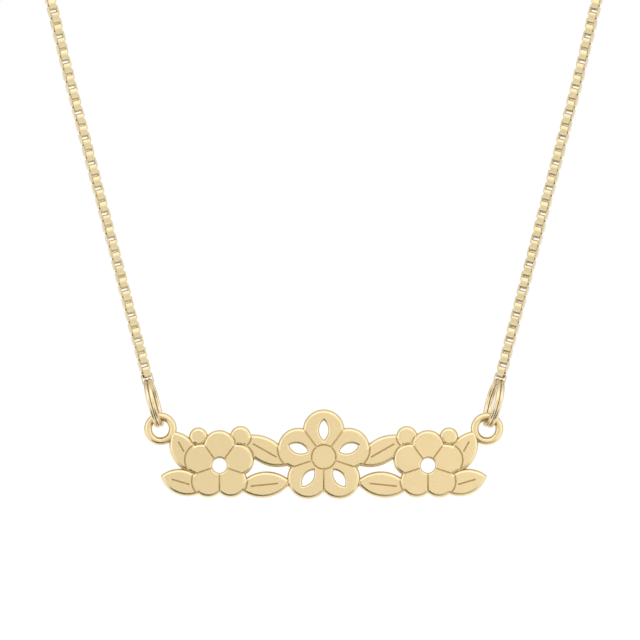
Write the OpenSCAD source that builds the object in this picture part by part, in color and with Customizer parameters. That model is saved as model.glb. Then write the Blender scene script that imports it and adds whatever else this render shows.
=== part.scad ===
// Nameplate necklace: a pierced ornament plate on two jump rings and a box chain,
// worn as a whole loop. Its middle at the nape is the origin, the plate hangs in
// front at -Y, and the fronts of the plate and of the chain face -Y. Millimetres.

/* [Plate] */
// Distance between the centres of the two end rings
ring_span = 35.1; // [33:0.1:37]
// Height of the end rings' centres above the plate's foot
ring_height = 7.75; // [7.2:0.05:8.2]
// Thickness of the plate
plate_t = 1; // [0.9:0.05:1.4]
// Width of the engraved lines
groove_w = 0.16; // [0.1:0.01:0.24]
// Depth of the engraved lines
groove_d = 0.12; // [0.06:0.01:0.3]
// Thickness of the end rings' wire
end_wire = 0.86; // [0.7:0.02:0.9]
// Clear width of the end rings' holes
end_hole = 1.8; // [1.6:0.05:2.2]

/* [Main blossom] */
// Height of its centre above the foot
bloom_z = 4.75; // [4.6:0.05:5.1]
// Distance from its centre to the middle of a petal
bloom_ring = 2.85; // [2.6:0.05:3]
// Radius of a petal
bloom_petal_r = 2.25; // [2.1:0.05:2.4]
// Radius of the disc at its centre
bloom_eye_r = 1.3; // [1:0.05:1.5]
// Length of the pierced drop in a petal
drop_l = 2.1; // [1.6:0.05:2.3]
// Width of the pierced drop
drop_w = 1; // [0.6:0.05:1.2]

/* [Side blossoms] */
// Distance of their centres from the middle of the plate
side_x = 11.2; // [10.8:0.05:11.5]
// Height of their centres above the foot
side_z = 3.8; // [3.6:0.05:4]
// Distance from a centre to the middle of a petal
side_ring = 2.05; // [1.9:0.05:2.2]
// Radius of a petal
side_petal_r = 1.78; // [1.65:0.01:1.9]
// Radius of the pierced hole at a centre
side_eye_r = 0.78; // [0.5:0.02:0.9]

/* [Leaves and berries] */
// Width of the inner leaves
inner_leaf_w = 2.85; // [2.4:0.05:3.2]
// Width of the outer leaves
outer_leaf_w = 2.85; // [2.4:0.05:3.2]
// Height of the outer leaves' free tips above the foot
tip_z = 2.7; // [2.3:0.05:3.2]
// Radius of the inner berries
inner_berry_r = 1.15; // [1:0.05:1.3]
// Radius of the outer berries
outer_berry_r = 1; // [0.9:0.05:1.2]
// Distance of a berry's centre from its blossom's centre
berry_reach = 3.85; // [3.6:0.05:4]

/* [Jump rings] */
// Outer diameter of a jump ring
jump_d = 5.4; // [4.8:0.1:6]
// Thickness of its wire, which goes round twice
jump_wire = 0.44; // [0.36:0.02:0.5]
// Turn of the left jump ring about the chain's line, in degrees
jump_turn_left = 4; // [0:1:12]
// Turn of the right jump ring about the chain's line, in degrees
jump_turn_right = 9; // [0:1:12]
// Free play between the end ring and the jump ring that carries it
hang_gap = 0.25; // [0.15:0.01:0.3]

/* [Chain] */
// Width of the box chain, across its flats
chain_w = 1.1; // [0.9:0.05:1.2]
// Turn of the chain about its own line, in degrees
chain_turn = 15; // [0:1:16]
// Angle between each fall of chain and the upright
fall_angle = 14.6; // [12:0.2:17]
// Free play on each side of the widest ring that an end link holds
end_link_play = 0.09; // [0.08:0.01:0.15]
// Clear length of the chain's end links
end_link_hole_l = 1; // [0.95:0.01:1.4]
// Thickness of an end link's strip
end_link_t = 0.13; // [0.1:0.01:0.2]
// Width of an end link's strip
end_link_depth = 0.5; // [0.4:0.02:0.6]

/* [Loop] */
// How far the plate hangs in front of the nape
loop_depth = 98; // [90:1:110]
// How far the end rings hang below the nape
loop_drop = 104; // [95:1:115]
// Half of the loop's width at the sides of the neck
loop_half_w = 53; // [48:1:60]

/* [Clasp] */
// Outer diameter of the clasp's ring
clasp_d = 6; // [5.5:0.1:7]
// Thickness of the clasp's ring
clasp_wire = 1.1; // [0.9:0.05:1.2]
// Length of the clasp's thumb knob
knob_l = 0.8; // [0.5:0.05:1.2]
// Thickness of the thumb knob
knob_d = 0.8; // [0.5:0.05:1]
// Outer diameter of the clasp's small eye
eye_d = 2.4; // [2.3:0.05:2.8]
// Thickness of the small eye's wire
eye_wire = 0.6; // [0.5:0.02:0.64]
// Outer diameter of the catch ring
catch_d = 4.4; // [4:0.1:5]
// Thickness of the catch ring's wire
catch_wire = 0.6; // [0.5:0.02:0.64]

/* [Hidden] */
$fn = 64;

GOLD = [0.91, 0.82, 0.62];
RING_GOLD = [0.86, 0.72, 0.46];

// Petals of a blossom, and the direction of the first
PETALS = 5;
FIRST_PETAL = 90;
// Where the leaves' roots and one tip lie on the blossoms: the direction from the
// blossom's centre in degrees, and the distance as a share of the blossom's reach
INNER_LOW_ROOT = [-38, 0.86];
INNER_HIGH_ROOT = [-14, 0.72];
INNER_LOW_TIP = [-129, 0.79];
OUTER_LOW_ROOT = [-61, 0.76];
OUTER_HIGH_ROOT = [-19, 0.69];
// Direction from an end ring's centre to the leaf that meets it
END_RING_MEET = 190;
// Share of a leaf's length that its engraved rib takes
RIB_SHARE = 0.5;
// How far the parts of a chain's end keep from each other
LINK_PLAY = 0.06;
// How deep the two soldered turns of a jump ring sink into each other
TURN_SINK = 0.02;
// How deep the clasp's eye and knob sink into its ring
SINK = 0.3;
// Overshoot of a cut past the face that it opens
CUT = 0.1;

// The route of a half chain. Its falls are marked by their distance up from the end
// ring, as a share of loop_drop. The stretch round the neck is a list of points
// [x, y, z], as shares of loop_half_w, -loop_depth and -loop_drop.
FALL_MARKS = [0.21, 0.365, 0.52];
NECK_ROUTE = [
    [0.71, 0.96, 0.356],
    [0.84, 0.872, 0.23],
    [0.945, 0.75, 0.13],
    [1, 0.6, 0.063],
    [0.98, 0.434, 0.02],
    [0.88, 0.28, 0],
    [0.68, 0.143, 0],
    [0.415, 0.041, 0]
];
// Rings of the chain's skin for each stretch between two points, and sides of a ring
RINGS_PER_STRETCH = 3;
CHAIN_SIDES = 8;

end_mid_r = (end_hole + end_wire) / 2;
jump_mid_r = (jump_d - jump_wire) / 2;
jump_pitch = jump_wire - TURN_SINK;
jump_band = jump_wire + jump_pitch;
end_ring_c = [ring_span / 2, ring_height];

main_c = [0, bloom_z];
side_c = [side_x, side_z];
bloom_reach = bloom_ring + bloom_petal_r;
side_reach = side_ring + side_petal_r;
petal_step = 360 / PETALS;

// How far from a ring's centre the foot bar of an end link bears inside its wire
function link_seat(mid_r, wire) =
    sqrt(pow(mid_r - wire / 2, 2) - pow(end_link_depth / 2, 2)) - LINK_PLAY;

// Places along the fall line, measured up from the end ring's centre
hang_r = end_hole / 2 - hang_gap - jump_wire / 2;
jump_z = sqrt(hang_r * hang_r - pow(jump_pitch / 2, 2)) + jump_mid_r;
front_link_z = jump_z + link_seat(jump_mid_r, jump_wire) - end_link_t;
end_link_l = end_link_hole_l + 2 * end_link_t;
end_link_hole_w = max(jump_band, eye_wire, catch_wire) + 2 * end_link_play;
chain_start = front_link_z + end_link_l + LINK_PLAY;

// Places along X at the nape, measured from the clasp ring's centre
clasp_mid_r = (clasp_d - clasp_wire) / 2;
eye_mid_r = (eye_d - eye_wire) / 2;
catch_mid_r = (catch_d - catch_wire) / 2;
eye_x = -(clasp_d / 2 + eye_mid_r - SINK);
catch_x = clasp_mid_r - clasp_wire / 2 - LINK_PLAY - catch_wire / 2 + catch_mid_r;
left_link_x = eye_x - link_seat(eye_mid_r, eye_wire) + end_link_t;
right_link_x = catch_x + link_seat(catch_mid_r, catch_wire) - end_link_t;
clasp_x = -(left_link_x + right_link_x) / 2;
nape_half = (right_link_x - left_link_x) / 2 + end_link_l + LINK_PLAY;

// Plane geometry of the plate: x across, y up from its foot

function polar(c, r, a) = c + r * [cos(a), sin(a)];
function between(a, b, share) = a + share * (b - a);
function on_main(place) = polar(main_c, place[1] * bloom_reach, place[0]);
function on_side_blossom(place) = polar(side_c, place[1] * side_reach, place[0]);
function notch_reach(ring, r) =
    ring * cos(petal_step / 2) + sqrt(r * r - pow(ring * sin(petal_step / 2), 2));

module leaf(from, to, w, grow = 0) {
    l = norm(to - from);
    r = (l * l + w * w) / (4 * w);
    translate((from + to) / 2)
        rotate(atan2(to.y - from.y, to.x - from.x))
            intersection() {
                translate([0, w / 2 - r]) circle(r + grow);
                translate([0, r - w / 2]) circle(r + grow);
            }
}

module line(from, to) {
    translate((from + to) / 2)
        rotate(atan2(to.y - from.y, to.x - from.x))
            square([norm(to - from), groove_w], center = true);
}

module petals(c, ring, r) {
    for (i = [0 : PETALS - 1])
        translate(polar(c, ring, FIRST_PETAL + i * petal_step)) circle(r);
}

module petal_lines(c, ring, r, eye_r) {
    for (i = [0 : PETALS - 1]) {
        a = FIRST_PETAL + (i + 0.5) * petal_step;
        line(polar(c, eye_r, a), polar(c, notch_reach(ring, r) + groove_w, a));
    }
}

module both_sides() {
    children();
    mirror([1, 0]) children();
}

inner_berry_c = polar(side_c, berry_reach, FIRST_PETAL + petal_step / 2);
outer_berry_c = polar(side_c, berry_reach, FIRST_PETAL - petal_step / 2);

// The leaves of one side, each from its root to its tip: [root, tip, width]
LEAVES = [
    [on_main(INNER_LOW_ROOT), on_side_blossom(INNER_LOW_TIP), inner_leaf_w],
    [on_main(INNER_HIGH_ROOT), inner_berry_c, inner_leaf_w],
    [on_side_blossom(OUTER_LOW_ROOT), [end_ring_c.x, tip_z], outer_leaf_w],
    [on_side_blossom(OUTER_HIGH_ROOT), polar(end_ring_c, end_mid_r, END_RING_MEET), outer_leaf_w]
];

module leaves(grow = 0) {
    both_sides()
        for (row = LEAVES)
            leaf(row[0], row[1], row[2], grow);
}

module ribs() {
    start = (1 - RIB_SHARE) / 2;
    both_sides()
        for (row = LEAVES)
            line(between(row[0], row[1], start), between(row[0], row[1], 1 - start));
}

module berries(grow = 0) {
    both_sides() {
        translate(inner_berry_c) circle(inner_berry_r + grow);
        translate(outer_berry_c) circle(outer_berry_r + grow);
    }
}

module side_blossoms(grow = 0) {
    both_sides() petals(side_c, side_ring, side_petal_r + grow);
}

module main_blossom(grow = 0) {
    petals(main_c, bloom_ring, bloom_petal_r + grow);
    translate(main_c) circle(bloom_eye_r);
}

module piercings() {
    both_sides() translate(side_c) circle(side_eye_r);
    for (i = [0 : PETALS - 1]) {
        a = FIRST_PETAL + i * petal_step;
        leaf(polar(main_c, bloom_ring - drop_l / 2, a), polar(main_c, bloom_ring + drop_l / 2, a), drop_w);
    }
}

module plate_outline() {
    difference() {
        union() {
            leaves();
            berries();
            side_blossoms();
            main_blossom();
        }
        piercings();
    }
}

// Lines where a motif lies over the ones behind it, and the lines inside the motifs
module engraving() {
    half = groove_w / 2;
    intersection() {
        difference() {
            main_blossom(half);
            main_blossom(-half);
        }
        leaves(-half);
    }
    intersection() {
        difference() {
            side_blossoms(half);
            side_blossoms(-half);
        }
        union() {
            leaves(-half);
            berries(-half);
        }
    }
    difference() {
        intersection() {
            difference() {
                berries(half);
                berries(-half);
            }
            leaves(-half);
        }
        side_blossoms(half);
    }
    difference() {
        ribs();
        berries(half);
        side_blossoms(half);
        main_blossom(half);
    }
    both_sides() petal_lines(side_c, side_ring, side_petal_r, side_eye_r);
    petal_lines(main_c, bloom_ring, bloom_petal_r, bloom_eye_r);
    translate(main_c) difference() {
        circle(bloom_eye_r + half);
        circle(bloom_eye_r - half);
    }
}

// Solid pieces

module torus(mid_r, wire) {
    rotate_extrude() translate([mid_r, 0]) circle(d = wire);
}

module on_side(side) {
    if (side < 0) mirror([1, 0, 0]) children();
    else children();
}

// Stands children on the right fall line, Z running up it from the end ring's centre
module on_fall_line() {
    translate([ring_span / 2, -loop_depth, -loop_drop])
        rotate([0, fall_angle, 0])
            children();
}

module nameplate() {
    color(GOLD)
        translate([0, -loop_depth, -loop_drop])
            rotate([90, 0, 0]) {
                translate([0, -ring_height]) difference() {
                    translate([0, 0, -plate_t / 2]) linear_extrude(plate_t) plate_outline();
                    translate([0, 0, plate_t / 2 - groove_d]) linear_extrude(groove_d + CUT) engraving();
                }
                for (side = [-1, 1])
                    translate([side * ring_span / 2, 0]) torus(end_mid_r, end_wire);
            }
}

module jump_ring(side) {
    turn = side < 0 ? jump_turn_left : jump_turn_right;
    color(RING_GOLD)
        on_side(side) on_fall_line()
            translate([0, 0, jump_z])
                rotate([0, 0, turn]) rotate([0, 90, 0])
                    for (place = [-1, 1])
                        translate([0, 0, place * jump_pitch / 2]) torus(jump_mid_r, jump_wire);
}

// An end link with its foot at the origin, standing up Z, open along Y
module end_link() {
    w = end_link_hole_w + 2 * end_link_t;
    translate([0, 0, end_link_l / 2])
        rotate([90, 0, 0])
            translate([0, 0, -end_link_depth / 2])
                linear_extrude(end_link_depth)
                    difference() {
                        round_square(w, end_link_l, 2 * end_link_t);
                        round_square(end_link_hole_w, end_link_hole_l, end_link_t);
                    }
}

module round_square(w, l, r) {
    square([w - 2 * r, l], center = true);
    square([w, l - 2 * r], center = true);
    for (x = [-1, 1], y = [-1, 1])
        translate([x * (w / 2 - r), y * (l / 2 - r)]) circle(r);
}

module front_link(side) {
    color(RING_GOLD)
        on_side(side) on_fall_line()
            translate([0, 0, front_link_z])
                end_link();
}

module back_link(side) {
    foot_x = clasp_x + (side < 0 ? left_link_x : right_link_x);
    color(RING_GOLD)
        translate([foot_x, 0, 0])
            rotate([0, side * 90, 0])
                end_link();
}

// The chain's skin: one tube swept along the route

function unit(v) = v / norm(v);
function reject(v, t) = unit(v - (v * t) * t);
function fall_point(u) =
    [ring_span / 2 + u * sin(fall_angle), -loop_depth, -loop_drop + u * cos(fall_angle)];
function neck_point(p) = [p.x * loop_half_w, -p.y * loop_depth, -p.z * loop_drop];

ROUTE = concat(
    [fall_point(chain_start)],
    [for (m = FALL_MARKS) fall_point(m * loop_drop)],
    [for (p = NECK_ROUTE) neck_point(p)],
    [[nape_half, 0, 0]]
);
last = len(ROUTE) - 1;
before = 2 * ROUTE[0] - ROUTE[1];
after = [2 * ROUTE[last].x - ROUTE[last - 1].x, ROUTE[last - 1].y, ROUTE[last - 1].z];
GUIDE = concat([before], ROUTE, [after]);

// A point of the smooth curve through the route, a share t of the way along stretch i
function on_curve(i, t) =
    let (a = GUIDE[i], b = GUIDE[i + 1], c = GUIDE[i + 2], d = GUIDE[i + 3])
    0.5 * (2 * b + (c - a) * t
        + (2 * a - 5 * b + 4 * c - d) * t * t
        + (3 * b - 3 * c + d - a) * t * t * t);
function slope(i, t) =
    let (a = GUIDE[i], b = GUIDE[i + 1], c = GUIDE[i + 2], d = GUIDE[i + 3])
    unit((c - a) + 2 * (2 * a - 5 * b + 4 * c - d) * t + 3 * (3 * b - 3 * c + d - a) * t * t);

STEPS = [
    for (i = [0 : last - 1], k = [0 : RINGS_PER_STRETCH - 1]) [i, k / RINGS_PER_STRETCH],
    [last - 1, 1]
];
CENTRES = [for (s = STEPS) on_curve(s[0], s[1])];
SLOPES = [for (s = STEPS) slope(s[0], s[1])];
ring_count = len(STEPS);

// Each ring's outward direction, carried along the curve without twist
OUTWARD = [
    for (i = 0, n = reject([-sin(chain_turn), -cos(chain_turn), 0], SLOPES[0]);
        i < ring_count;
        i = i + 1, n = i < ring_count ? reject(n, SLOPES[i]) : n)
        n
];
chain_corner_r = chain_w / 2 / cos(180 / CHAIN_SIDES);

function ring_points(i) = [
    for (k = [0 : CHAIN_SIDES - 1])
        let (a = (k + 0.5) * 360 / CHAIN_SIDES)
        CENTRES[i] + chain_corner_r * (cos(a) * OUTWARD[i] + sin(a) * cross(SLOPES[i], OUTWARD[i]))
];

SKIN_POINTS = [for (i = [0 : ring_count - 1]) each ring_points(i)];
SKIN_FACES = concat(
    [[for (k = [0 : CHAIN_SIDES - 1]) k]],
    [
        for (i = [0 : ring_count - 2], k = [0 : CHAIN_SIDES - 1])
            let (
                p = i * CHAIN_SIDES + k,
                q = i * CHAIN_SIDES + (k + 1) % CHAIN_SIDES,
                r = p + CHAIN_SIDES,
                s = q + CHAIN_SIDES
            )
            each [[p, r, s], [p, s, q]]
    ],
    [[for (k = [CHAIN_SIDES - 1 : -1 : 0]) (ring_count - 1) * CHAIN_SIDES + k]]
);

module chain(side) {
    color(GOLD)
        on_side(side)
            polyhedron(points = SKIN_POINTS, faces = SKIN_FACES);
}

module clasp() {
    color(RING_GOLD)
        translate([clasp_x, 0, 0]) {
            rotate([90, 0, 0]) torus(clasp_mid_r, clasp_wire);
            translate([eye_x, 0, 0]) torus(eye_mid_r, eye_wire);
            rotate([0, 45, 0])
                translate([0, 0, clasp_d / 2 - SINK])
                    cylinder(d = knob_d, h = knob_l + SINK);
        }
}

module catch_ring() {
    color(RING_GOLD)
        translate([clasp_x + catch_x, 0, 0])
            torus(catch_mid_r, catch_wire);
}

nameplate();
jump_ring(-1);  // jump_ring_left
jump_ring(1);  // jump_ring_right
front_link(-1);  // front_link_left
front_link(1);  // front_link_right
chain(-1);  // chain_left
chain(1);  // chain_right
back_link(-1);  // back_link_left
back_link(1);  // back_link_right
clasp();
catch_ring();
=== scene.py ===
"""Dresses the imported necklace: a pierced ornament plate on a fine box chain.

The plate hangs by its two end rings from jump rings, and the chain runs round the
neck to a spring ring clasp. All pieces are gold. Lengths in the classes are in
millimetres, and the meshes are in metres, as the frame is.
"""

import logging
import math
import random
from dataclasses import dataclass, field
from enum import Enum
from typing import Iterable, Sequence

import bmesh
import bpy
from mathutils import Matrix, Vector


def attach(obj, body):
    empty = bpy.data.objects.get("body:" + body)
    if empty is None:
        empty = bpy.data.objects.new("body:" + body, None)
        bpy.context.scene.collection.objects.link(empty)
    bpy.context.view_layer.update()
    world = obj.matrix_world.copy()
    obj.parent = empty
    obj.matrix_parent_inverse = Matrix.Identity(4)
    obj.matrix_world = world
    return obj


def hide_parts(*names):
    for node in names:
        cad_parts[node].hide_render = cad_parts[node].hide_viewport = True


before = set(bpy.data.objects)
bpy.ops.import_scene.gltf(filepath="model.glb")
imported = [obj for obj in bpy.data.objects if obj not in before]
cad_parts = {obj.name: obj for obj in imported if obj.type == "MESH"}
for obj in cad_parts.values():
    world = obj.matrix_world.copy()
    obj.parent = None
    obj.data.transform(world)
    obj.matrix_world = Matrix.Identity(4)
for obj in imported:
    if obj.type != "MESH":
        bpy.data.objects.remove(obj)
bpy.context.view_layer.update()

log = logging.getLogger("necklace")

Pair = tuple[float, float]
Triple = tuple[float, float, float]

MM = 0.001
QUARTER = math.pi / 2
# Corners closer than this are one, in millimetres
WELD = 1e-5
# An edge that turns more than this is shaded sharp
SHARP_EDGE = math.radians(48)
# An edge that turns more than this is a rim, which is rounded
RIM_EDGE = math.radians(60)


class Side(Enum):
    """The wearer's two sides as the viewer sees them, by the sign of X."""

    LEFT = -1
    RIGHT = 1

    @property
    def word(self) -> str:
        """Returns the side's name as the nodes spell it."""
        return self.name.lower()


# Materials


def linear(code: str) -> tuple[float, float, float, float]:
    """Turns an sRGB hex colour to linear light.

    Args:
        code: The colour as six hex digits.

    Returns:
        Linear red, green and blue, and an alpha of 1.
    """
    parts = [int(code[i : i + 2], 16) / 255 for i in (0, 2, 4)]
    return (*[c / 12.92 if c <= 0.04045 else ((c + 0.055) / 1.055) ** 2.4 for c in parts], 1.0)


def new_material(name: str) -> tuple[bpy.types.Material, bpy.types.NodeTree]:
    """Makes a material with no nodes.

    Args:
        name: Its name.

    Returns:
        The material and its node tree.
    """
    material = bpy.data.materials.new(name)
    material.use_nodes = True
    material.node_tree.nodes.clear()
    return material, material.node_tree


def add_node(
    tree: bpy.types.NodeTree,
    kind: str,
    inputs: dict[str, object] | None = None,
    **settings: object,
) -> bpy.types.Node:
    """Adds a shader node.

    Args:
        tree: The node tree that it goes into.
        kind: The node's type, without the leading ShaderNode.
        inputs: For each input by name, a value or the socket that feeds it.
        **settings: The node's own properties.

    Returns:
        The new node.
    """
    node = tree.nodes.new("ShaderNode" + kind)
    for name, value in settings.items():
        setattr(node, name, value)
    for name, value in (inputs or {}).items():
        socket = node.inputs[name]
        if isinstance(value, bpy.types.NodeSocket):
            tree.links.new(value, socket)
        else:
            socket.default_value = value
    return node


@dataclass(frozen=True)
class GoldFinish:
    """14 ct yellow gold, cast or drawn and then polished.

    Attributes:
        name: The material's name.
        light: Colour where the polish is highest.
        deep: Colour where handling has dulled it a little.
        hollow_tarnish_and_shade: Colour in corners, cuts and gaps: partly tarnish that the polishing
            wheel doesn't reach, partly painted shade where less light falls.
        reach: How near another surface has to be to shelter a spot, in millimetres.
        roughness: Roughness of the polish.
        grain: Spacing of the polishing marks along X, Y and Z, in millimetres.
        relief: Height of the marks, in millimetres.
        matt_film_and_bounce_light: Share of the gloss that sheltered spots lose: partly a dull layer
            of old polish, partly painted light, as the matt hollow colour then catches the open light
            in place of light thrown to and fro between the parts.
        cloud: Size of the patches that fingers and cloth have dulled, in millimetres.
        spread: Share by which the patches are rougher or smoother than the rest.
        sky: Share of open sky at which a spot takes all of the hollow colour, and at which it takes
            none.
        noise: Values that the patches' noise mostly lies between.
    """

    name: str
    light: str
    deep: str
    hollow_tarnish_and_shade: str
    reach: float
    roughness: float
    grain: Triple
    relief: float
    matt_film_and_bounce_light: float
    cloud: float = 3.0
    spread: float = 0.15
    sky: Pair = (0.35, 0.9)
    noise: Pair = (0.3, 0.7)

    def build(self) -> bpy.types.Material:
        """Builds the material.

        Returns:
            The material: gold whose polish varies in soft clouds, with fine marks, and with tarnish
                and painted shade in its hollows.
        """
        material, tree = new_material(self.name)
        place = add_node(tree, "TexCoord").outputs["Object"]
        clouds = add_node(
            tree, "TexNoise", {"Vector": place, "Scale": 1 / (self.cloud * MM), "Detail": 3.0}
        ).outputs["Fac"]
        polish = add_node(
            tree, "Mix",
            {"Factor": clouds, "A": linear(self.light), "B": linear(self.deep)},
            data_type="RGBA",
        )
        # Painted shade, with tarnish: spots that nearby surfaces shelter take the hollow colour, so
        # corners, cuts and joins are darkened in the colour and not by the lamps.
        shelter = add_node(tree, "AmbientOcclusion", {"Distance": self.reach * MM}, samples=8)
        depth = add_node(
            tree, "MapRange",
            {"Value": shelter.outputs["AO"], "From Min": self.sky[0], "From Max": self.sky[1],
             "To Min": 1.0, "To Max": 0.0},
        ).outputs["Result"]
        tarnished_and_shaded_colour = add_node(
            tree, "Mix",
            {"Factor": depth, "A": polish.outputs["Result"], "B": linear(self.hollow_tarnish_and_shade)},
            data_type="RGBA",
        )
        rough = add_node(
            tree, "MapRange",
            {"Value": clouds, "From Min": self.noise[0], "From Max": self.noise[1],
             "To Min": self.roughness * (1 - self.spread),
             "To Max": self.roughness * (1 + self.spread)},
        )
        stretched = add_node(
            tree, "Mapping", {"Vector": place, "Scale": tuple(1 / (g * MM) for g in self.grain)}
        )
        marks = add_node(
            tree, "TexNoise", {"Vector": stretched.outputs["Vector"], "Scale": 1.0, "Detail": 2.0}
        )
        bump = add_node(
            tree, "Bump",
            {"Height": marks.outputs["Fac"], "Strength": 1.0, "Distance": self.relief * MM},
        )
        # Painted light: sheltered spots turn matt, so their hollow colour catches the open light and
        # stands in for the light thrown between the parts.
        gloss = add_node(
            tree, "MapRange", {"Value": depth, "To Min": 1.0, "To Max": 1.0 - self.matt_film_and_bounce_light}
        )
        gold = add_node(
            tree, "BsdfPrincipled",
            {"Base Color": tarnished_and_shaded_colour.outputs["Result"], "Metallic": gloss.outputs["Result"],
             "Roughness": rough.outputs["Result"], "Normal": bump.outputs["Normal"]},
        )
        add_node(tree, "OutputMaterial", {"Surface": gold.outputs["BSDF"]})
        return material


# Cast plate, ground flat and satin polished up and down: a soft, even pale sheen with
# faint upright marks. The marks are 0.12 mm apart, coarser than real ones, to show.
# Its darker hollow colour browns the engraved lines, pierced holes and joins: partly tarnish, partly
# painted shade.
PLATE_FINISH = GoldFinish(
    "satin_polished_cast_gold", light="ead8ae", deep="e5d1a4", hollow_tarnish_and_shade="bb9c5e", reach=1.6,
    roughness=0.26, grain=(0.12, 0.4, 2.4), relief=0.0008, matt_film_and_bounce_light=0.3,
)
# Drawn wire, bent and tumbled bright: clear, pale yellow reflections.
# Its hollow colour browns the wire where the rings meet and pass through each other: partly tarnish,
# partly painted shade.
WIRE_FINISH = GoldFinish(
    "tumbled_gold_wire", light="e8dcbc", deep="dccba6", hollow_tarnish_and_shade="bf9a62", reach=1.2,
    roughness=0.24, grain=(0.5, 0.5, 0.5), relief=0.0006, matt_film_and_bounce_light=0.3,
)
# Rolled strip, folded to links and bright dipped: small flat mirrors. The pale light in the gaps
# between the links is painted: a pale, matt hollow colour stands in for light thrown to and fro
# between them, with a little painted shade.
STRIP_FINISH = GoldFinish(
    "bright_rolled_gold_strip", light="e5d4ac", deep="d9c89d", hollow_tarnish_and_shade="d2c29b", reach=0.35,
    roughness=0.22, grain=(0.4, 0.4, 0.4), relief=0.0006, matt_film_and_bounce_light=0.85,
)


# Mesh helpers


def move(bm: bmesh.types.BMesh, place: Matrix) -> None:
    """Moves a whole mesh by a matrix."""
    bmesh.ops.transform(bm, matrix=place, verts=bm.verts)


def corners(geom: Iterable[object]) -> list[bmesh.types.BMVert]:
    """Returns the vertices among a mesh's elements."""
    return [v for v in geom if isinstance(v, bmesh.types.BMVert)]


def shade(bm: bmesh.types.BMesh) -> None:
    """Shades a mesh smooth, and keeps its sharp edges sharp.

    Args:
        bm: The mesh, changed in place.
    """
    for f in bm.faces:
        f.smooth = True
    for e in bm.edges:
        e.smooth = not (e.is_manifold and e.calc_face_angle(0.0) > SHARP_EDGE)


def round_rims(bm: bmesh.types.BMesh, offset: float, segments: int) -> None:
    """Rounds a mesh's sharp rims.

    Args:
        bm: The mesh, changed in place.
        offset: How far from a rim its rounding starts.
        segments: Steps of the rounding.
    """
    rims = [e for e in bm.edges if e.calc_face_angle(0.0) > RIM_EDGE]
    bmesh.ops.bevel(
        bm, geom=rims, offset=offset, segments=segments, profile=0.5, affect="EDGES", material=-1
    )


def to_object(bm: bmesh.types.BMesh, name: str) -> bpy.types.Object:
    """Turns a mesh in millimetres to an object of the scene.

    Args:
        bm: The mesh, freed here.
        name: The object's name.

    Returns:
        The object, at the origin, with its mesh in metres.
    """
    bmesh.ops.remove_doubles(bm, verts=bm.verts, dist=WELD)
    bmesh.ops.scale(bm, vec=(MM, MM, MM), verts=bm.verts)
    bmesh.ops.recalc_face_normals(bm, faces=bm.faces)
    shade(bm)
    mesh = bpy.data.meshes.new(name)
    bm.to_mesh(mesh)
    bm.free()
    obj = bpy.data.objects.new(name, mesh)
    bpy.context.scene.collection.objects.link(obj)
    return obj


def spun(
    profile: Sequence[Pair], steps: int, closed: bool = False, angle: float = math.tau
) -> bmesh.types.BMesh:
    """Spins a profile about the Y axis.

    Args:
        profile: Points (distance from the axis, place along Y).
        steps: Steps of the spin.
        closed: Whether the profile's last point joins its first.
        angle: How far it is spun, starting from +X towards -Z.

    Returns:
        The skin as a mesh.
    """
    bm = bmesh.new()
    verts = [bm.verts.new((r, y, 0)) for r, y in profile]
    pairs = list(zip(verts, verts[1:])) + ([(verts[-1], verts[0])] if closed else [])
    edges = [bm.edges.new(p) for p in pairs]
    full = angle >= math.tau
    bmesh.ops.spin(
        bm, geom=verts + edges, cent=(0, 0, 0), axis=(0, 1, 0), angle=angle,
        steps=steps, use_merge=full, use_duplicate=False,
    )
    bmesh.ops.remove_doubles(bm, verts=bm.verts, dist=WELD)
    if not full:
        ends = [e for e in bm.edges if e.is_boundary]
        bmesh.ops.holes_fill(bm, edges=ends)
    bmesh.ops.recalc_face_normals(bm, faces=bm.faces)
    return bm


@dataclass(frozen=True)
class WireRing:
    """A closed ring of round wire.

    Attributes:
        radius: Radius of the ring at the wire's middle.
        wire: Thickness of the wire.
        sides: Sides of the wire.
        steps: Sides of the ring.
    """

    radius: float
    wire: float
    sides: int
    steps: int

    @property
    def inside(self) -> float:
        """Returns the radius of the ring's clear hole."""
        return self.radius - self.wire / 2

    def mesh(self) -> bmesh.types.BMesh:
        """Builds the ring about the Y axis.

        Returns:
            The ring as a mesh.
        """
        r = self.wire / 2
        turns = [math.tau * i / self.sides for i in range(self.sides)]
        section = [(self.radius + r * math.cos(a), r * math.sin(a)) for a in turns]
        return spun(section, self.steps, closed=True)


def strip_link(
    size: Pair, strip_t: float, strip_w: float, corner: float, segments: int
) -> bmesh.types.BMesh:
    """Builds a link of folded strip: a frame with rounded corners, open along Z.

    Args:
        size: Its outer size along X and Y, about the Z axis.
        strip_t: Thickness of the strip.
        strip_w: Width of the strip, from Z 0 up.
        corner: How far from an outer corner its rounding starts.
        segments: Steps of the rounding.

    Returns:
        The link as a mesh.
    """
    bm = bmesh.new()
    bmesh.ops.create_grid(bm, x_segments=1, y_segments=1, size=0.5)
    bmesh.ops.scale(bm, vec=(*size, 1), verts=bm.verts)
    bmesh.ops.bevel(
        bm, geom=bm.verts[:], offset=corner, segments=segments, profile=0.5,
        affect="VERTICES", material=-1,
    )
    bmesh.ops.inset_region(
        bm, faces=bm.faces[:], thickness=strip_t, depth=0, use_boundary=True, use_even_offset=True
    )
    # The strip's own faces have four corners, and the face inside them has more
    middle = [f for f in bm.faces if len(f.verts) > 4]
    bmesh.ops.delete(bm, geom=middle, context="FACES_ONLY")
    up = bmesh.ops.extrude_face_region(bm, geom=bm.faces[:])
    bmesh.ops.translate(bm, vec=(0, 0, strip_w), verts=corners(up["geom"]))
    bmesh.ops.recalc_face_normals(bm, faces=bm.faces)
    return bm


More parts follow.
